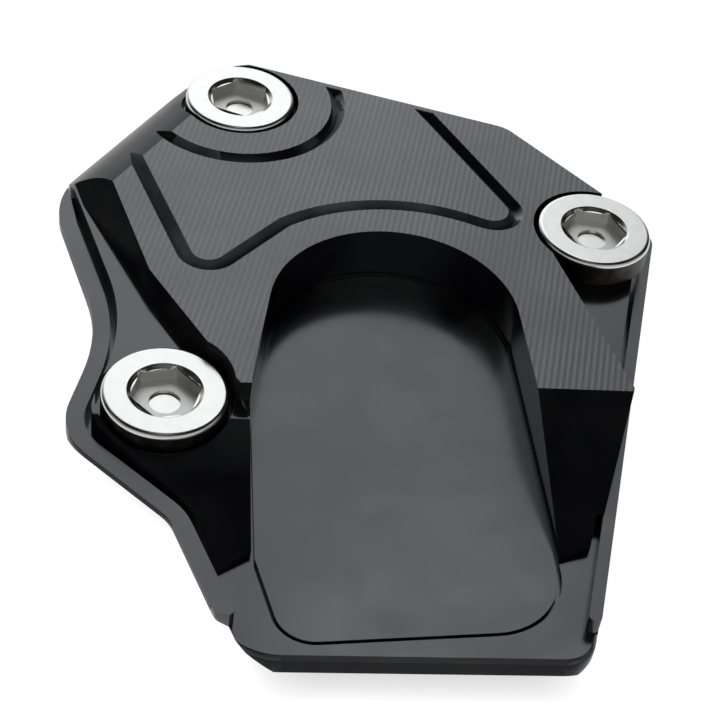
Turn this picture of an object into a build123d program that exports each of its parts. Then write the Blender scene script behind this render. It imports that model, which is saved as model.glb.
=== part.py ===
"""Kickstand foot enlarger: a ground plate, a horseshoe clamp plate and three low-head cap screws.

Millimetres, +Z up, front edge along X at the low Y side. Origin on the ground under the middle of the plan.
"""
import os

from build123d import *

# Levels above the ground
floor_z = 4.4           # seat of the clamp plate, pad under the stand's foot and shelf along the front
rim_z = 5.8             # raised edge along both sides
land_z = 7.0            # lower lands of the clamp plate
top_z = 9.2             # upper face of the clamp plate
clear_y = 45.0          # beyond both plates, where open cuts run out

# Base plate, corner points with their radii
base_corners = [
    ((-14.7, 34.3), 6.0), ((-27.25, 15.2), 8.5), ((-22.3, -1.6), 18.0), ((-25.3, -13.0), 5.5),
    ((-16.6, -21.6), 4.0), ((-12.35, -33.2), 5.5), ((13.9, -33.2), 2.6), ((26.9, 13.7), 2.0),
    ((13.75, 24.75), 3.0),
]
rim_width, rim_width_right = 1.4, 0.95
rim_end_y = -30.5       # the raised edge stops here, with rounded ends
rim_end_round = 0.45
flare_y = 12.0, 17.6      # the left raised edge widens here, up to the clamp plate
flare_gap = 0.05
front_chamfer = 0.3

# Pad under the stand's foot: the clamp plate's opening, closed at the front, inside a narrow groove
pad_bend_y = -24.2
pad_corners = [((12.7, -30.5), 6.0), ((-8.6, -32.2), 3.2)]
groove_width, groove_depth = 0.3, 0.5

# Underside: the left side leans in from just below the raised edge, the other sides from lower down
wall_low_z = 5.2
under_angle = 52        # lean from upright
under_corners = [
    (-15.8, 37.15), (-28.25, 18.3), (-23.2, -1.6), (-25.3, -13.0), (-16.6, -21.6), (-11.25, -36.3),
    (15.7, -36.3), (29.8, 14.6), (15.1, 26.8),
]

# Clamp plate
seat_gap = 0.55         # clearance inside the raised edge
arm_ends = [(-20.0, -30.8), (-10.65, -23.9), (12.8, -23.8), (20.0, -20.9)]
arch_left, arch_top, arch_right = (-8.7, 0.1), (1.5, 8.65), (11.85, -0.9)
arm_left, arm_left_end, arm_right_end = (-10.5, -10.1), (-10.65, -39.6), (13.3, -39.6)
arm_round = 12.0
upper_points = [
    (-14.9, 34.6), (-26.1, 18.4), (-24.6, 13.4), (-18.3, 1.9), (-10.3, -12.4), (0.0, -12.4),
    (0.0, -25.6), (15.1, -25.6), (20.1, -9.3), (15.4, 8.5), (20.1, 10.3), (22.4, 14.5), (13.9, 24.8),
]
ramp_right = [(-10.0, 9.2), (-23.8, 4.75)]        # y and z along the slope of the right arm
ramp_left = [(-10.5, 7.32), (-25.7, 4.75)]        # y and z along the slope of the left arm
corner_round = 8.0                                # behind the right screw
lip_points = [(18.8, -4.4), (20.15, -9.6), (16.3, -23.5), (13.6, -23.0)]    # right arm over the raised edge
lip_lean, lip_gap = 11, 0.1

# Bevels on the outer edge of the clamp plate
back_edge, back_inward, back_along = (-14.8, 34.15), (0.8361, -0.5485), (-0.5485, -0.8361)
back_run, back_crown = 5.2, (2.4, -1.33)          # slightly domed
back_drop = top_z - rim_z                         # down to the raised edge
side_edge, side_inward, side_along = (-18.4, 1.8), (0.9601, 0.2797), (0.2797, -0.9601)
side_run = 2.6

# Panel on the upper face, outlined by a V groove that leaves a crescent round the back screw
vee_depth, vee_angle = 0.65, 45
vee_stop = 0.5                                    # the groove ends short of the plate's edge
panel_left_end, panel_left_corner, panel_left_round = (-24.0, 27.2), (-14.9, 0.1), 2.75
panel_arch = [(-6.8, 8.8), (1.6, 11.65), (9.4, 10.0)]
panel_right_corner, panel_right_round, panel_right_end = (17.0, 6.9), 2.8, (4.0, 33.1)
crescent_r = 8.45

# Screws: left, back and right, M6 with a low head
screw_names = ["screw_left", "screw_back", "screw_right"]
screw_points = [(-17.1, -10.3), (-10.65, 27.1), (20.1, 10.2)]
screw_tops = [7.9, 9.4, 9.4]
screw_lengths = [4.0, 6.0, 6.0]
screw_turns = [12, 35, -8]                        # rest angle of each hexagon
head_r, head_h, head_chamfer = 5.0, 2.4, 0.35
socket_flats, socket_depth, mouth_r, mouth_depth = 5.0, 1.3, 3.0, 0.3
pilot_r, pilot_depth = 1.25, 0.25
shank_r, tip_chamfer = 2.95, 0.5
head_gap, hole_gap, thread_gap = 0.4, 0.35, 0.05  # all round the head, the shank and the thread
screw_seats = [top - head_h for top in screw_tops]


def rounded(sketch, corners):
    """Round the corners of the sketch that have a radius."""
    for point, radius in corners:
        if radius:
            fillet(sketch.vertices().sort_by_distance((*point, 0))[0], radius)


def run_out(start, end, y):
    """The point where the line from start through end reaches y."""
    return (start[0] + (end[0] - start[0]) * (y - start[1]) / (end[1] - start[1]), y)


# Plans shared by the two plates
with BuildSketch() as base_plan:
    with BuildLine():
        Polyline(*[point for point, _ in base_corners], close=True)
    make_face()
    rounded(base_plan, base_corners)

with BuildSketch() as side_plan:
    # both sides run straight out past the back
    sides = [point for point, _ in base_corners]
    wider = rim_width - rim_width_right
    right = [(x + wider, y) for x, y in (sides[6], run_out(sides[6], sides[7], clear_y))]
    with BuildLine():
        Polyline(run_out(sides[2], sides[1], clear_y), *sides[2:6], *right, close=True)
    make_face()
    rounded(side_plan, base_corners[2:7])

with BuildSketch() as inner_plan:
    add(side_plan.sketch)
    offset(amount=-rim_width)
    # the raised edge widens at its left end
    slant = Vector(*sides[1]) - Vector(*sides[2])
    across = slant.length / slant.Y
    outer = [run_out(sides[2], sides[1], y) for y in flare_y]
    narrow = [(x + rim_width * across, y) for x, y in outer]
    wide = (outer[1][0] + (rim_width + seat_gap - flare_gap) * across, outer[1][1])
    with BuildLine():
        Polyline(*narrow, wide, close=True)
    make_face(mode=Mode.SUBTRACT)

with BuildSketch() as opening_plan:
    with BuildLine():
        Polyline(arch_right, arm_right_end, arm_left_end, arm_left, arch_left)
        ThreePointArc(arch_left, arch_top, arch_right)
    make_face()
    rounded(opening_plan, [(arm_left, arm_round)])

with BuildSketch() as pad_plan:
    bends = run_out(arch_right, arm_right_end, pad_bend_y), run_out(arm_left, arm_left_end, pad_bend_y)
    with BuildLine():
        Polyline(arch_right, bends[0], *[point for point, _ in pad_corners], bends[1], arm_left, arch_left)
        ThreePointArc(arch_left, arch_top, arch_right)
    make_face()
    rounded(pad_plan, [(arm_left, arm_round), *pad_corners])

with BuildSketch() as front_plan:
    # ahead of the ends of the arms
    with BuildLine():
        Polyline(*arm_ends, (arm_ends[-1][0], -clear_y), (arm_ends[0][0], -clear_y), close=True)
    make_face()

with BuildSketch() as clamp_plan:
    add(side_plan.sketch)
    offset(amount=-rim_width - seat_gap)
    add(base_plan.sketch, mode=Mode.INTERSECT)
    fillet(clamp_plan.vertices().sort_by_distance((*sides[7], 0))[0], corner_round)
    add(front_plan.sketch, mode=Mode.SUBTRACT)
    add(opening_plan.sketch, mode=Mode.SUBTRACT)

# Waste outside the chamfer of the front edge
with BuildPart() as front_trim:
    with BuildSketch(Plane.XY.offset(floor_z - front_chamfer)):
        with Locations((0, rim_end_y)):
            Rectangle(2 * clear_y, clear_y + rim_end_y, align=(Align.CENTER, Align.MAX))
    extrude(amount=front_chamfer)
    shelf_y = rim_end_y + rim_width
    with BuildSketch(Plane.XY.offset(floor_z - front_chamfer)) as shelf_plan:
        with BuildLine():
            Polyline(run_out(sides[5], sides[4], shelf_y), *sides[5:7], run_out(sides[6], sides[7], shelf_y), close=True)
        make_face()
        rounded(shelf_plan, base_corners[5:7])
    extrude(amount=front_chamfer, taper=45, mode=Mode.SUBTRACT)

# Base plate
with BuildPart() as base_plate:
    with BuildSketch(Plane.XY.offset(wall_low_z)):
        with BuildLine():
            Polyline(*under_corners, close=True)
        make_face()
    extrude(amount=-wall_low_z, taper=under_angle)
    with BuildSketch(Plane.XY.offset(wall_low_z)):
        add(base_plan.sketch)
    extrude(amount=rim_z - wall_low_z)
    with BuildSketch():
        add(base_plan.sketch)
    extrude(amount=rim_z, mode=Mode.INTERSECT)
    # floor inside the raised edge, open at the back and the front
    with BuildSketch(Plane.XY.offset(floor_z)):
        add(inner_plan.sketch)
        with Locations((0, rim_end_y)):
            Rectangle(2 * clear_y, clear_y + rim_end_y, align=(Align.CENTER, Align.MAX))
    extrude(amount=rim_z, mode=Mode.SUBTRACT)
    ends = base_plate.edges().filter_by(Axis.Z).filter_by_position(Axis.Y, rim_end_y - 0.01, rim_end_y + 0.01)
    fillet(ends, rim_end_round)
    # groove round the pad
    with BuildSketch(Plane.XY.offset(floor_z)):
        add(pad_plan.sketch)
        offset(pad_plan.sketch, amount=-groove_width, mode=Mode.SUBTRACT)
    extrude(amount=-groove_depth, mode=Mode.SUBTRACT)
    # tapped holes
    with Locations(*[(x, y, 0) for x, y in screw_points]):
        Cylinder(shank_r + thread_gap, rim_z, align=(Align.CENTER, Align.CENTER, Align.MIN), mode=Mode.SUBTRACT)
    # chamfer round the front edge of the shelf
    add(front_trim.part, mode=Mode.SUBTRACT)
base_plate.part.label = "base_plate"

# Groove round the panel: both of its sides lean in to the bottom
with BuildSketch() as panel_plan:
    ends = [run_out(panel_left_corner, panel_left_end, clear_y), run_out(panel_right_corner, panel_right_end, clear_y)]
    with BuildLine():
        Polyline(ends[0], panel_left_corner, panel_arch[0])
        ThreePointArc(*panel_arch)
        Polyline(panel_arch[2], panel_right_corner, ends[1], ends[0])
    make_face()
    rounded(panel_plan, [(panel_left_corner, panel_left_round), (panel_right_corner, panel_right_round)])
    with Locations(screw_points[1]):
        Circle(crescent_r, mode=Mode.SUBTRACT)

with BuildPart() as panel_groove:
    with BuildSketch(Plane.XY.offset(top_z)):
        add(panel_plan.sketch)
    extrude(amount=-vee_depth, taper=vee_angle)
    with BuildSketch(Plane.XY.offset(top_z - vee_depth)):
        offset(panel_plan.sketch, amount=-vee_depth, kind=Kind.INTERSECTION)
    extrude(amount=vee_depth, taper=vee_angle, mode=Mode.SUBTRACT)
    with BuildSketch(Plane.XY.offset(top_z)):
        offset(base_plan.sketch, amount=-vee_stop)
    extrude(amount=-vee_depth, mode=Mode.INTERSECT)

# Clamp plate
with BuildPart() as clamp_plate:
    with BuildSketch(Plane.XY.offset(floor_z)):
        add(clamp_plan.sketch)
    extrude(amount=land_z - floor_z)
    with BuildSketch(Plane.XY.offset(land_z)):
        with BuildLine():
            Polyline(*upper_points, close=True)
        make_face()
        add(clamp_plan.sketch, mode=Mode.INTERSECT)
    extrude(amount=top_z - land_z)
    # the right arm reaches out over the raised edge
    with BuildSketch(Plane.XY.offset(top_z)):
        with BuildLine():
            Polyline(*lip_points, close=True)
        make_face()
    extrude(amount=rim_z + lip_gap - top_z, taper=lip_lean)
    add(panel_groove.part, mode=Mode.SUBTRACT)
    # bevels along the back left edge and the left corner
    with BuildSketch(Plane((*back_edge, top_z), x_dir=(*back_inward, 0), z_dir=(*back_along, 0))):
        with BuildLine():
            ThreePointArc((back_run, 0), back_crown, (0, -back_drop))
            Polyline((0, -back_drop), (-2, -back_drop), (-2, 2), (back_run, 2), (back_run, 0))
        make_face()
    extrude(amount=40, both=True, mode=Mode.SUBTRACT)
    with BuildSketch(Plane((*side_edge, top_z), x_dir=(*side_inward, 0), z_dir=(*side_along, 0))):
        with BuildLine():
            Polyline((0, 0), (0, 2), (-8, 2), (-8, land_z - top_z), (-side_run, land_z - top_z), close=True)
        make_face()
    extrude(amount=-20, mode=Mode.SUBTRACT)
    # slopes down to the front of the arms
    for (start, end), side in ((ramp_right, 1), (ramp_left, -1)):
        fall = (end[1] - start[1]) / (end[0] - start[0])
        low = (-clear_y, end[1] - fall * (clear_y + end[0]))
        with BuildSketch(Plane.YZ):
            with BuildLine():
                Polyline(start, low, (low[0], top_z + 2), (start[0], top_z + 2), close=True)
            make_face()
        extrude(amount=40 * side, mode=Mode.SUBTRACT)
    # screw seats
    for (x, y), seat in zip(screw_points, screw_seats):
        with Locations((x, y, seat)):
            Cylinder(head_r + head_gap, 10, align=(Align.CENTER, Align.CENTER, Align.MIN), mode=Mode.SUBTRACT)
        with Locations((x, y, 0)):
            Cylinder(shank_r + hole_gap, 20, mode=Mode.SUBTRACT)
clamp_plate.part.label = "clamp_plate"

# Screws
screws = []
for name, (x, y), seat, length, turn in zip(screw_names, screw_points, screw_seats, screw_lengths, screw_turns):
    with BuildPart() as screw:
        with BuildSketch(Plane((x, y, 0), x_dir=(1, 0, 0), z_dir=(0, -1, 0))):
            with BuildLine():
                Polyline(
                    (0, seat - length), (shank_r - tip_chamfer, seat - length),
                    (shank_r, seat - length + tip_chamfer), (shank_r, seat), (head_r, seat),
                    (head_r, seat + head_h - head_chamfer), (head_r - head_chamfer, seat + head_h),
                    (0, seat + head_h), close=True,
                )
            make_face()
        revolve(axis=Axis((x, y, 0), (0, 0, 1)))
        with BuildSketch(Plane((x, y, seat + head_h))):
            RegularPolygon(socket_flats / 2, 6, major_radius=False, rotation=turn)
        extrude(amount=-socket_depth, mode=Mode.SUBTRACT)
        with Locations((x, y, seat + head_h)):
            Cone(mouth_r - mouth_depth, mouth_r, mouth_depth,
                 align=(Align.CENTER, Align.CENTER, Align.MAX), mode=Mode.SUBTRACT)
            Cylinder(pilot_r, socket_depth + pilot_depth,
                     align=(Align.CENTER, Align.CENTER, Align.MAX), mode=Mode.SUBTRACT)
    screw.part.label = name
    screws.append(screw)

os.makedirs("parts", exist_ok=True)
export_step(base_plate.part, "parts/base_plate.step")
export_step(clamp_plate.part, "parts/clamp_plate.step")
for screw in screws:
    export_step(screw.part, f"parts/{screw.part.label}.step")
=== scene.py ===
from math import cos, radians, sin

import bpy
from mathutils import Matrix, Quaternion, Vector


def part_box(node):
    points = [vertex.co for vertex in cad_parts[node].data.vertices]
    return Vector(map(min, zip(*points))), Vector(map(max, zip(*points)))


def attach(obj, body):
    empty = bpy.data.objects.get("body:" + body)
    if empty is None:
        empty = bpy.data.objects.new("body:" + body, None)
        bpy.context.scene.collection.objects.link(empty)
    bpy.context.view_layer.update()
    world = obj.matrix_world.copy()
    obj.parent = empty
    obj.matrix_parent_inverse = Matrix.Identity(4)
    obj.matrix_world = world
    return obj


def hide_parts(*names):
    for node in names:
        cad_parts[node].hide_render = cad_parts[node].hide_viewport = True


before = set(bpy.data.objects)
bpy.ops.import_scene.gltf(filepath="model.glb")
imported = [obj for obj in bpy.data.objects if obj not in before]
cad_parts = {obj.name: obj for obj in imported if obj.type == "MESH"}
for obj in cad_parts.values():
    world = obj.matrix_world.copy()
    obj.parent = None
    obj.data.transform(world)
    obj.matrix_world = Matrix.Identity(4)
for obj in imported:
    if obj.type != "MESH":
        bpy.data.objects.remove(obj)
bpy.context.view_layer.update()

# Ground plate: milled from aluminium plate, deburred and anodised black. The stand's foot presses on
# the smooth pad in its middle, and the raised edge along both sides keeps the clamp plate in place.
edge_break = 0.00012


def plate_from_frame(node, name):
    """A copy of the frame's plate with its triangles merged and its sharp edges broken."""
    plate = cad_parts[node].copy()
    plate.data = plate.data.copy()
    plate.name = plate.data.name = name
    bpy.context.collection.objects.link(plate)
    bpy.ops.object.select_all(action="DESELECT")
    bpy.context.view_layer.objects.active = plate
    plate.select_set(True)
    plate.data.materials.clear()
    bpy.ops.mesh.customdata_custom_splitnormals_clear()
    bpy.ops.object.mode_set(mode="EDIT")
    bpy.ops.mesh.select_all(action="SELECT")
    bpy.ops.mesh.remove_doubles(threshold=0.000002)
    bpy.ops.mesh.dissolve_limited(angle_limit=radians(0.3))
    bpy.ops.object.mode_set(mode="OBJECT")
    deburr = plate.modifiers.new("deburr", "BEVEL")
    deburr.width = edge_break
    deburr.segments = 2
    deburr.limit_method = "ANGLE"
    deburr.angle_limit = radians(10)
    bpy.ops.object.modifier_apply(modifier=deburr.name)
    bpy.ops.object.shade_smooth_by_angle(angle=radians(40))
    flat_faces = plate.modifiers.new("flat_faces", "WEIGHTED_NORMAL")
    flat_faces.keep_sharp = True
    flat_faces.weight = 100
    bpy.ops.object.modifier_apply(modifier=flat_faces.name)
    plate.select_set(False)
    return plate


ground_plate = plate_from_frame("base_plate", "ground_plate")

# the hand marks and dust that show on a glossy black film, shared by both plates
hand_marks = bpy.data.node_groups.new("hand_marks", "ShaderNodeTree")
hand_marks.interface.new_socket("Cleanest", in_out="INPUT", socket_type="NodeSocketFloat")
hand_marks.interface.new_socket("Dullest", in_out="INPUT", socket_type="NodeSocketFloat")
hand_marks.interface.new_socket("Roughness", in_out="OUTPUT", socket_type="NodeSocketFloat")
hand_marks.interface.new_socket("Haze", in_out="OUTPUT", socket_type="NodeSocketFloat")
hand_marks.interface.new_socket("Dust", in_out="OUTPUT", socket_type="NodeSocketFloat")
marks, links = hand_marks.nodes, hand_marks.links
marks_in, marks_out = marks.new("NodeGroupInput"), marks.new("NodeGroupOutput")
place = marks.new("ShaderNodeTexCoord")
smears = marks.new("ShaderNodeTexNoise")
smears.inputs["Scale"].default_value = 85
smears.inputs["Detail"].default_value = 3
smears.inputs["Distortion"].default_value = 0.6
links.new(place.outputs["Object"], smears.inputs["Vector"])
wiped = marks.new("ShaderNodeMapRange")
wiped.interpolation_type = "SMOOTHSTEP"
wiped.inputs["From Min"].default_value = 0.36
wiped.inputs["From Max"].default_value = 0.66
links.new(smears.outputs["Fac"], wiped.inputs["Value"])
links.new(marks_in.outputs["Cleanest"], wiped.inputs["To Min"])
links.new(marks_in.outputs["Dullest"], wiped.inputs["To Max"])
links.new(wiped.outputs["Result"], marks_out.inputs["Roughness"])
fingers = marks.new("ShaderNodeTexNoise")
fingers.inputs["Scale"].default_value = 140
fingers.inputs["Detail"].default_value = 4
fingers.inputs["Distortion"].default_value = 0.5
links.new(place.outputs["Object"], fingers.inputs["Vector"])
haze = marks.new("ShaderNodeMapRange")
haze.interpolation_type = "SMOOTHSTEP"
haze.inputs["From Min"].default_value = 0.38
haze.inputs["From Max"].default_value = 0.68
links.new(fingers.outputs["Fac"], haze.inputs["Value"])
links.new(haze.outputs["Result"], marks_out.inputs["Haze"])
specks = marks.new("ShaderNodeTexVoronoi")
specks.inputs["Scale"].default_value = 210
links.new(place.outputs["Object"], specks.inputs["Vector"])
near_speck = marks.new("ShaderNodeMapRange")
near_speck.inputs["From Min"].default_value = 0.022
near_speck.inputs["From Max"].default_value = 0.012
links.new(specks.outputs["Distance"], near_speck.inputs["Value"])
few = marks.new("ShaderNodeMath")
few.operation = "GREATER_THAN"
few.inputs[1].default_value = 0.55
speck_tint = marks.new("ShaderNodeSeparateColor")
links.new(specks.outputs["Color"], speck_tint.inputs["Color"])
links.new(speck_tint.outputs["Red"], few.inputs[0])
dust = marks.new("ShaderNodeMath")
dust.operation = "MULTIPLY"
links.new(near_speck.outputs["Result"], dust.inputs[0])
links.new(few.outputs["Value"], dust.inputs[1])
links.new(dust.outputs["Value"], marks_out.inputs["Dust"])


def black_film(name, cleanest, dullest, smudge_and_painted_sheen, density=1.72):
    """Black anodised film: a dyed, clear oxide layer with hand marks and a little dust."""
    material = bpy.data.materials.new(name)
    material.use_nodes = True
    nodes, links = material.node_tree.nodes, material.node_tree.links
    film = nodes["Principled BSDF"]
    film.inputs["IOR"].default_value = density
    film.inputs["Specular Tint"].default_value = (0.9, 0.94, 1.0, 1.0)
    handled = nodes.new("ShaderNodeGroup")
    handled.node_tree = hand_marks
    handled.inputs["Cleanest"].default_value = cleanest
    handled.inputs["Dullest"].default_value = dullest
    links.new(handled.outputs["Roughness"], film.inputs["Roughness"])
    # hazy patches of the hand marks; on the satin inner slopes their paler tone is painted light
    dye = nodes.new("ShaderNodeMix")
    dye.data_type = "RGBA"
    dye.inputs["A"].default_value = (0.004, 0.004, 0.007, 1.0)
    dye.inputs["B"].default_value = (smudge_and_painted_sheen, smudge_and_painted_sheen, smudge_and_painted_sheen, 1.0)
    links.new(handled.outputs["Haze"], dye.inputs["Factor"])
    dusted = nodes.new("ShaderNodeMix")
    dusted.data_type = "RGBA"
    dusted.inputs["B"].default_value = (0.3, 0.3, 0.29, 1.0)
    links.new(handled.outputs["Dust"], dusted.inputs["Factor"])
    links.new(dye.outputs["Result"], dusted.inputs["A"])
    links.new(dusted.outputs["Result"], film.inputs["Base Color"])
    return material


# the pad's film lies on every upper face and a duller one on the outer walls and the underside
pad_film = black_film("pad_black_film", cleanest=0.17, dullest=0.25, smudge_and_painted_sheen=0.042)
edge_film = black_film("edge_black_film", cleanest=0.25, dullest=0.36, smudge_and_painted_sheen=0.02, density=1.18)
ground_plate.data.materials.append(pad_film)
ground_plate.data.materials.append(edge_film)
pad_level, rim_end_y, rim_end_reach = 0.0044, -0.0305, 0.0008
for face in ground_plate.data.polygons:
    faces_out = face.normal.xy.dot(face.center.xy) > 0
    at_rim_end = abs(face.center.y - rim_end_y) < rim_end_reach and face.center.z > pad_level
    if face.normal.z < -0.2 or face.normal.z < 0.5 and faces_out and not at_rim_end:
        face.material_index = 1
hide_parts("base_plate")
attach(ground_plate, "root")

# Clamp plate: a horseshoe milled from aluminium and anodised with the ground plate. The cutter's
# passes stay visible on its upper face, inside and outside the V groove; its slopes are smooth.
clamp_plate = plate_from_frame("clamp_plate", "horseshoe_plate")
smooth_film = black_film("smooth_black_film", cleanest=0.08, dullest=0.14, smudge_and_painted_sheen=0.012)
milled_film = black_film("milled_black_film", cleanest=0.14, dullest=0.2, smudge_and_painted_sheen=0.03)
bevel_film = black_film("bevel_black_film", cleanest=0.25, dullest=0.36, smudge_and_painted_sheen=0.02, density=1.17)
# rougher film for the groove's inner slopes, its paler haze tone painted light
satin_painted_light_film = black_film("satin_painted_light_black_film", cleanest=0.42, dullest=0.56, smudge_and_painted_sheen=0.1)

# the cutter's passes: fine parallel ridges, worn in places, with a painted highlight along their crests
nodes, links = milled_film.node_tree.nodes, milled_film.node_tree.links
place = nodes.new("ShaderNodeTexCoord")
across_passes = nodes.new("ShaderNodeMapping")
across_passes.inputs["Rotation"].default_value = (0.0, 0.0, radians(13.5))
links.new(place.outputs["Object"], across_passes.inputs["Vector"])
passes = nodes.new("ShaderNodeTexWave")
passes.wave_type = "BANDS"
passes.bands_direction = "X"
passes.inputs["Scale"].default_value = 620
passes.inputs["Distortion"].default_value = 0.35
passes.inputs["Detail"].default_value = 1
passes.inputs["Detail Scale"].default_value = 0.3
links.new(across_passes.outputs["Vector"], passes.inputs["Vector"])
worn_passes = nodes.new("ShaderNodeTexNoise")
worn_passes.inputs["Scale"].default_value = 110
links.new(place.outputs["Object"], worn_passes.inputs["Vector"])
pass_depth = nodes.new("ShaderNodeMapRange")
pass_depth.inputs["From Min"].default_value = 0.3
pass_depth.inputs["From Max"].default_value = 0.7
pass_depth.inputs["To Min"].default_value = 0.35
pass_depth.inputs["To Max"].default_value = 1.0
links.new(worn_passes.outputs["Fac"], pass_depth.inputs["Value"])
cut_marks = nodes.new("ShaderNodeMath")
cut_marks.operation = "MULTIPLY"
links.new(passes.outputs["Fac"], cut_marks.inputs[0])
links.new(pass_depth.outputs["Result"], cut_marks.inputs[1])
ridges = nodes.new("ShaderNodeBump")
ridges.inputs["Strength"].default_value = 1.0
ridges.inputs["Distance"].default_value = 0.000011
links.new(cut_marks.outputs["Value"], ridges.inputs["Height"])
links.new(ridges.outputs["Normal"], nodes["Principled BSDF"].inputs["Normal"])
# painted highlight: a paler grey added to the film's colour along the crests of the passes
crest_highlight = nodes.new("ShaderNodeMix")
crest_highlight.data_type = "RGBA"
crest_highlight.blend_type = "ADD"
crest_highlight.inputs["B"].default_value = (0.13, 0.13, 0.14, 1.0)
links.new(cut_marks.outputs["Value"], crest_highlight.inputs["Factor"])
film_colour = nodes["Principled BSDF"].inputs["Base Color"]
links.new(film_colour.links[0].from_socket, crest_highlight.inputs["A"])
links.new(crest_highlight.outputs["Result"], film_colour)

# smooth slopes, a milled top, duller outer walls and bevel, and a rougher inner side of the V groove with a paler
# haze painted as light
clamp_films = (smooth_film, milled_film, edge_film, bevel_film, satin_painted_light_film)
for film in clamp_films:
    clamp_plate.data.materials.append(film)
groove_level, panel_middle = 0.0085, Vector((-0.002, 0.016))
to_back_left, bevel_reach = Vector((-0.836, 0.5485, 0.0)), 0.0255
for face in clamp_plate.data.polygons:
    on_top = face.center.z > groove_level
    faces_out = face.normal.xy.dot(face.center.xy) > 0
    off_panel = face.normal.xy.dot(face.center.xy - panel_middle) > 0
    if on_top and face.normal.z > 0.999:
        film = milled_film
    elif faces_out and abs(face.normal.z) < 0.3:
        film = edge_film
    elif face.normal.dot(to_back_left) > 0.12 and face.center.dot(to_back_left) > bevel_reach:
        film = bevel_film
    elif on_top and off_panel and 0.5 < face.normal.z < 0.95:
        # the groove's inner slopes: rough film with a paler tone painted as light
        film = satin_painted_light_film
    else:
        film = smooth_film
    face.material_index = clamp_films.index(film)
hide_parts("clamp_plate")
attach(clamp_plate, "root")

# Cap screws: turned from stainless steel, with a low knurled head, a broached hexagon socket and a
# drill mark at its bottom. Three of them pull the clamp plate down on the ground plate.
head_radius, head_height, head_sides = 0.005, 0.0024, 128
shank_radius, shank_length = 0.00295, 0.006
tip_chamfer, rim_round = 0.0005, 0.0004
bpy.ops.object.select_all(action="DESELECT")
bpy.ops.mesh.primitive_cylinder_add(
    vertices=head_sides, radius=head_radius, depth=head_height, location=(0, 0, -head_height / 2))
cap_screw = bpy.context.object
bpy.ops.object.transform_apply(location=True, rotation=True, scale=True)


def select_only(piece, part, wanted):
    """Select the faces, edges or vertices of a piece that a test picks by their place."""
    bpy.ops.object.mode_set(mode="EDIT")
    bpy.ops.mesh.select_mode(type={"polygons": "FACE", "edges": "EDGE", "vertices": "VERT"}[part])
    bpy.ops.mesh.select_all(action="DESELECT")
    bpy.ops.object.mode_set(mode="OBJECT")
    for item in getattr(piece.data, part):
        item.select = wanted(item)
    bpy.ops.object.mode_set(mode="EDIT")


def edge_at(piece, height, radius):
    """A test for the edges of a turned piece that lie at a height and a radius."""
    points = piece.data.vertices

    def lies_there(edge):
        ends = [points[i].co for i in edge.vertices]
        return all(abs(end.z - height) < 0.00001 and abs(end.xy.length - radius) < 0.00002 for end in ends)

    return lies_there


# shank drawn down out of the underside, its tip chamfered and the head's rim rounded
select_only(cap_screw, "polygons", lambda face: face.normal.z < -0.9)
bpy.ops.mesh.inset(thickness=head_radius - shank_radius)
bpy.ops.mesh.extrude_region_move(TRANSFORM_OT_translate={"value": (0, 0, -shank_length)})
bpy.ops.object.mode_set(mode="OBJECT")
select_only(cap_screw, "edges", edge_at(cap_screw, -head_height - shank_length, shank_radius))
bpy.ops.mesh.bevel(offset=tip_chamfer, segments=1, affect="EDGES")
bpy.ops.object.mode_set(mode="OBJECT")
select_only(cap_screw, "edges", edge_at(cap_screw, 0.0, head_radius))
bpy.ops.mesh.bevel(offset=rim_round, segments=4, affect="EDGES")
# straight knurl round the side of the head: every other point pressed in, between two plain bands
knurl_top, knurl_bottom, knurl_run_out = -0.00065, -0.00215, 0.00005
for level in (knurl_top + knurl_run_out, knurl_top - knurl_run_out,
              knurl_bottom + knurl_run_out, knurl_bottom - knurl_run_out):
    bpy.ops.mesh.select_all(action="SELECT")
    bpy.ops.mesh.bisect(plane_co=(0, 0, level), plane_no=(0, 0, 1))
bpy.ops.object.mode_set(mode="OBJECT")


def pressed_in(point):
    """Whether a point of the head's side is one of those that the knurl presses in."""
    turn = (point.co.xy.angle_signed(Vector((1, 0))) / radians(360) * head_sides) % 2
    on_side = knurl_bottom < point.co.z < knurl_top and point.co.xy.length > 0.98 * head_radius
    return on_side and 0.5 < turn < 1.5


select_only(cap_screw, "vertices", pressed_in)
bpy.ops.transform.resize(value=(0.988, 0.988, 1.0), center_override=(0, 0, 0))
bpy.ops.object.mode_set(mode="OBJECT")


def cut_with(tool):
    """Cut the tool that was added last out of the screw, and put it away."""
    cutter = bpy.context.object
    cut = cap_screw.modifiers.new(tool, "BOOLEAN")
    cut.operation = "DIFFERENCE"
    cut.solver = "EXACT"
    cut.object = cutter
    bpy.context.view_layer.objects.active = cap_screw
    bpy.ops.object.modifier_apply(modifier=cut.name)
    bpy.data.objects.remove(cutter, do_unlink=True)
    bpy.ops.object.select_all(action="DESELECT")


# hexagon socket: a broached hexagon, the drill's flat mark and a coned mouth, all centred on the head's top
socket_flats, socket_depth = 0.005, 0.0013
drill_radius, drill_depth = 0.00125, 0.00155
mouth_depth, mouth_bottom_radius, mouth_top_radius = 0.0003, 0.0027, 0.0033
bpy.ops.object.select_all(action="DESELECT")
bpy.ops.mesh.primitive_cylinder_add(vertices=6, radius=socket_flats / 2 / cos(radians(30)), depth=2 * socket_depth)
cut_with("broach")
bpy.ops.mesh.primitive_cylinder_add(vertices=48, radius=drill_radius, depth=2 * drill_depth)
cut_with("drill")
bpy.ops.mesh.primitive_cone_add(
    vertices=96, radius1=mouth_bottom_radius, radius2=mouth_top_radius, depth=2 * mouth_depth)
cut_with("mouth")
cap_screw.select_set(True)
softened = cap_screw.modifiers.new("softened", "BEVEL")
softened.width = 0.00006
softened.segments = 2
softened.limit_method = "ANGLE"
softened.angle_limit = radians(32)
bpy.ops.object.modifier_apply(modifier=softened.name)
bpy.ops.object.shade_smooth_by_angle(angle=radians(40))
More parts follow.
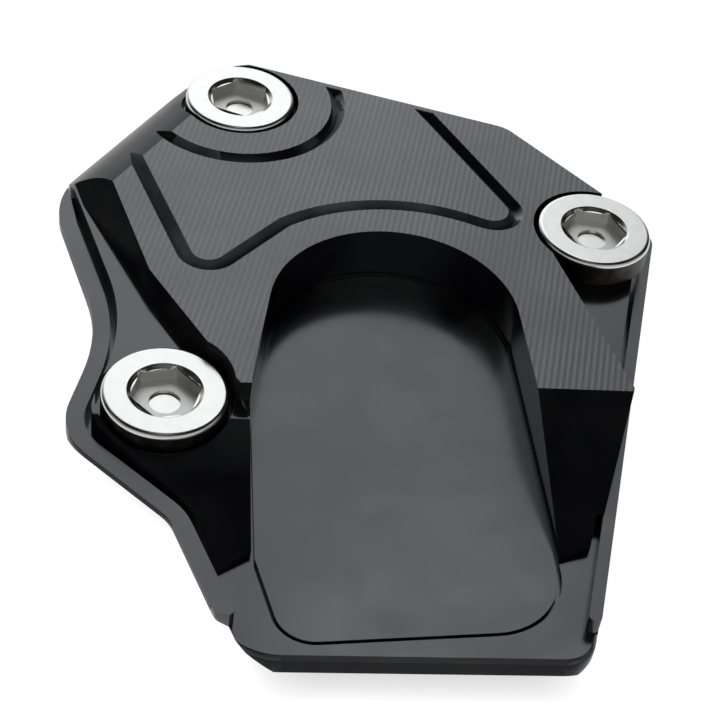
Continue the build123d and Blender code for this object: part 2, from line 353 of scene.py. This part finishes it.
flat_faces = cap_screw.modifiers.new("flat_faces", "WEIGHTED_NORMAL")
flat_faces.keep_sharp = True
flat_faces.weight = 100
bpy.ops.object.modifier_apply(modifier=flat_faces.name)

# the lathe's own coordinates, kept on the mesh so that the turning marks stay centred on each copy
lathe = cap_screw.data.attributes.new("lathe", "FLOAT_VECTOR", "POINT")
for point, spot in zip(cap_screw.data.vertices, lathe.data):
    spot.vector = point.co


def steel_finish(name, dark, light, smoothest, roughest, ring_depth):
    """Steel with the lathe's rings, patches of polish and a little stain."""
    material = bpy.data.materials.new(name)
    material.use_nodes = True
    nodes, links = material.node_tree.nodes, material.node_tree.links
    steel = nodes["Principled BSDF"]
    steel.inputs["Metallic"].default_value = 1.0
    on_lathe = nodes.new("ShaderNodeAttribute")
    on_lathe.attribute_name = "lathe"
    turning = nodes.new("ShaderNodeTexWave")
    turning.wave_type = "RINGS"
    turning.rings_direction = "Z"
    turning.inputs["Scale"].default_value = 1900
    turning.inputs["Distortion"].default_value = 1.5
    turning.inputs["Detail"].default_value = 2
    links.new(on_lathe.outputs["Vector"], turning.inputs["Vector"])
    turned = nodes.new("ShaderNodeBump")
    turned.inputs["Strength"].default_value = 0.35
    turned.inputs["Distance"].default_value = ring_depth
    links.new(turning.outputs["Fac"], turned.inputs["Height"])
    links.new(turned.outputs["Normal"], steel.inputs["Normal"])
    patches = nodes.new("ShaderNodeTexNoise")
    patches.inputs["Scale"].default_value = 900
    patches.inputs["Detail"].default_value = 4
    links.new(on_lathe.outputs["Vector"], patches.inputs["Vector"])
    polish = nodes.new("ShaderNodeMapRange")
    polish.inputs["To Min"].default_value = smoothest
    polish.inputs["To Max"].default_value = roughest
    links.new(patches.outputs["Fac"], polish.inputs["Value"])
    links.new(polish.outputs["Result"], steel.inputs["Roughness"])
    tone = nodes.new("ShaderNodeMix")
    tone.data_type = "RGBA"
    tone.inputs["A"].default_value = (*dark, 1.0)
    tone.inputs["B"].default_value = (*light, 1.0)
    links.new(patches.outputs["Fac"], tone.inputs["Factor"])
    links.new(tone.outputs["Result"], steel.inputs["Base Color"])
    return material


# polished top, a knurl painted near black as the shade in its grooves, broached flats painted bright as light
# inside the socket, and the satin bottom of the socket
for finish in (
        ("turned_steel", (0.57, 0.565, 0.555), (0.72, 0.715, 0.7), 0.14, 0.26, 0.000003),
        ("knurl_painted_shade_steel", (0.0, 0.0, 0.0), (0.09, 0.085, 0.07), 0.4, 0.5, 0.000001),
        ("flats_painted_light_steel", (0.8, 0.79, 0.77), (0.9, 0.89, 0.87), 0.3, 0.45, 0.000001),
        ("socket_steel", (0.6, 0.595, 0.585), (0.75, 0.745, 0.73), 0.4, 0.55, 0.000001)):
    cap_screw.data.materials.append(steel_finish(*finish))
for face in cap_screw.data.polygons:
    radius, depth = face.center.xy.length, -face.center.z
    in_socket = radius < 0.0031 and depth < socket_depth + 0.0001
    if rim_round < depth < head_height and radius > 0.0047:
        # the knurled side: steel painted near black as shade
        face.material_index = 1
    elif in_socket and depth > 0.0002 and abs(face.normal.z) < 0.5:
        # the socket's flats: steel painted bright as light
        face.material_index = 2
    elif in_socket and depth > 0.0011:
        face.material_index = 3

# one copy to each seat, turned as it was tightened
for node, turn in (("screw_left", 42), ("screw_back", 65), ("screw_right", 22)):
    low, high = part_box(node)
    screw = cap_screw.copy()
    screw.data = cap_screw.data.copy()
    screw.name = screw.data.name = node.replace("screw", "cap_screw")
    bpy.context.collection.objects.link(screw)
    # the shank is cut to the length that its hole takes
    spare = shank_length + head_height - (high.z - low.z)
    for point in screw.data.vertices:
        if point.co.z < -head_height - 0.001:
            point.co.z += spare
    head_top = Matrix.Translation(((low.x + high.x) / 2, (low.y + high.y) / 2, high.z))
    screw.data.transform(head_top @ Matrix.Rotation(radians(turn), 4, "Z"))
    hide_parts(node)
    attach(screw, "root")
bpy.data.objects.remove(cap_screw, do_unlink=True)

# Studio floor: a wide sheet of white board that the part lies on. It is white for the camera and for
# reflections, and darkens close to the part.
bpy.ops.object.select_all(action="DESELECT")
bpy.ops.mesh.primitive_plane_add(size=8, location=(0, 0, -0.00002))
floor = bpy.context.object
floor.name = "white_board"
white_board = bpy.data.materials.new("white_board")
white_board.use_nodes = True
nodes, links = white_board.node_tree.nodes, white_board.node_tree.links
board = nodes["Principled BSDF"]
board.inputs["Base Color"].default_value = (0.16, 0.16, 0.16, 1.0)
board.inputs["Roughness"].default_value = 0.9
board.inputs["Specular IOR Level"].default_value = 0.0
rays = nodes.new("ShaderNodeLightPath")
seen = nodes.new("ShaderNodeMath")
seen.operation = "MAXIMUM"
links.new(rays.outputs["Is Camera Ray"], seen.inputs[0])
links.new(rays.outputs["Is Glossy Ray"], seen.inputs[1])
seen_through = nodes.new("ShaderNodeMath")
seen_through.operation = "MAXIMUM"
links.new(seen.outputs["Value"], seen_through.inputs[0])
links.new(rays.outputs["Is Transmission Ray"], seen_through.inputs[1])
contact = nodes.new("ShaderNodeAmbientOcclusion")
contact.samples = 8
contact.inputs["Distance"].default_value = 0.0025
shadow = nodes.new("ShaderNodeMapRange")
shadow.inputs["To Min"].default_value = 0.55
links.new(contact.outputs["AO"], shadow.inputs["Value"])
lit = nodes.new("ShaderNodeMath")
lit.operation = "MULTIPLY"
links.new(seen_through.outputs["Value"], lit.inputs[0])
links.new(shadow.outputs["Result"], lit.inputs[1])
board.inputs["Emission Color"].default_value = (1.0, 1.0, 1.0, 1.0)
links.new(lit.outputs["Value"], board.inputs["Emission Strength"])
floor.data.materials.append(white_board)

# Light: one tall soft panel behind the part, strongest straight behind it, with a small soft lamp above
# its right end, in a dark room with a paler wall at the front, a low band of light round the sides and a
# dim lamp in the ceiling.
room = bpy.data.worlds.new("dark_room")
bpy.context.scene.world = room
room.use_nodes = True
nodes, links = room.node_tree.nodes, room.node_tree.links
sky = nodes["Background"]
sky.inputs["Color"].default_value = (0.97, 0.99, 1.0, 1.0)
where = nodes.new("ShaderNodeTexCoord")
axes = nodes.new("ShaderNodeSeparateXYZ")
links.new(where.outputs["Generated"], axes.inputs["Vector"])
bearing = nodes.new("ShaderNodeMath")
bearing.operation = "ARCTAN2"
links.new(axes.outputs["Y"], bearing.inputs[0])
links.new(axes.outputs["X"], bearing.inputs[1])
height = nodes.new("ShaderNodeMath")
height.operation = "ARCSINE"
links.new(axes.outputs["Z"], height.inputs[0])
panel = None
for source, start, end, low, high in (
        (bearing, 44, 88, 0.0, 1.0), (bearing, 149, 104, 0.0, 1.0),
        (height, 61, 54, 0.0, 1.0), (height, 49, 43, 0.82, 1.0)):
    edge = nodes.new("ShaderNodeMapRange")
    edge.interpolation_type = "SMOOTHSTEP"
    edge.inputs["From Min"].default_value = radians(start)
    edge.inputs["From Max"].default_value = radians(end)
    edge.inputs["To Min"].default_value = low
    edge.inputs["To Max"].default_value = high
    links.new(source.outputs["Value"], edge.inputs["Value"])
    if panel is None:
        panel = edge.outputs["Result"]
    else:
        both = nodes.new("ShaderNodeMath")
        both.operation = "MULTIPLY"
        links.new(panel, both.inputs[0])
        links.new(edge.outputs["Result"], both.inputs[1])
        panel = both.outputs["Value"]
glow = nodes.new("ShaderNodeMath")
glow.operation = "MULTIPLY_ADD"
glow.inputs[1].default_value = 1.6
glow.inputs[2].default_value = 0.012
links.new(panel, glow.inputs[0])
lamp_bearing, lamp_height = radians(70), radians(54)
towards_lamp = nodes.new("ShaderNodeVectorMath")
towards_lamp.operation = "DOT_PRODUCT"
towards_lamp.inputs[1].default_value = (
    cos(lamp_height) * cos(lamp_bearing), cos(lamp_height) * sin(lamp_bearing), sin(lamp_height))
links.new(where.outputs["Generated"], towards_lamp.inputs[0])
small_lamp = nodes.new("ShaderNodeMapRange")
small_lamp.interpolation_type = "SMOOTHSTEP"
small_lamp.inputs["From Min"].default_value = cos(radians(8.5))
small_lamp.inputs["From Max"].default_value = cos(radians(3))
small_lamp.inputs["To Max"].default_value = 1.5
links.new(towards_lamp.outputs["Value"], small_lamp.inputs["Value"])
wall_light = nodes.new("ShaderNodeMapRange")
wall_light.interpolation_type = "SMOOTHSTEP"
wall_light.inputs["From Min"].default_value = -0.35
wall_light.inputs["From Max"].default_value = -0.75
wall_light.inputs["To Max"].default_value = 0.3
links.new(axes.outputs["Y"], wall_light.inputs["Value"])
front_half = nodes.new("ShaderNodeMapRange")
front_half.interpolation_type = "SMOOTHSTEP"
front_half.inputs["From Min"].default_value = 0.3
front_half.inputs["From Max"].default_value = -0.1
front_half.inputs["To Max"].default_value = 0.4
links.new(axes.outputs["Y"], front_half.inputs["Value"])
low_band = nodes.new("ShaderNodeMapRange")
low_band.interpolation_type = "SMOOTHSTEP"
low_band.inputs["From Min"].default_value = radians(38)
low_band.inputs["From Max"].default_value = radians(25)
links.new(height.outputs["Value"], low_band.inputs["Value"])
links.new(front_half.outputs["Result"], low_band.inputs["To Max"])
ceiling = nodes.new("ShaderNodeMapRange")
ceiling.interpolation_type = "SMOOTHSTEP"
ceiling.inputs["From Min"].default_value = radians(79)
ceiling.inputs["From Max"].default_value = radians(86)
ceiling.inputs["To Max"].default_value = 0.6
links.new(height.outputs["Value"], ceiling.inputs["Value"])
last_light = glow.outputs["Value"]
for more in (small_lamp, wall_light, low_band, ceiling):
    added = nodes.new("ShaderNodeMath")
    added.operation = "ADD"
    links.new(last_light, added.inputs[0])
    links.new(more.outputs["Result"], added.inputs[1])
    last_light = added.outputs["Value"]
links.new(last_light, sky.inputs["Strength"])

# Camera: a long lens from the front left, looking down on the part and rolled a little.
bpy.ops.object.camera_add(location=(-0.019954, -0.11017, 0.1063))
camera = bpy.context.object
camera.name = "photo_camera"
camera.data.sensor_fit = "HORIZONTAL"
camera.data.sensor_width = 36
camera.data.lens = 90
camera.data.clip_start = 0.005
aim = Vector((0.00016, 0.0039, -0.0016)) - camera.location
camera.rotation_euler = (aim.to_track_quat("-Z", "Y") @ Quaternion((0, 0, 1), radians(8.91))).to_euler()
bpy.context.scene.camera = camera
bpy.context.scene.view_settings.view_transform = "Standard"
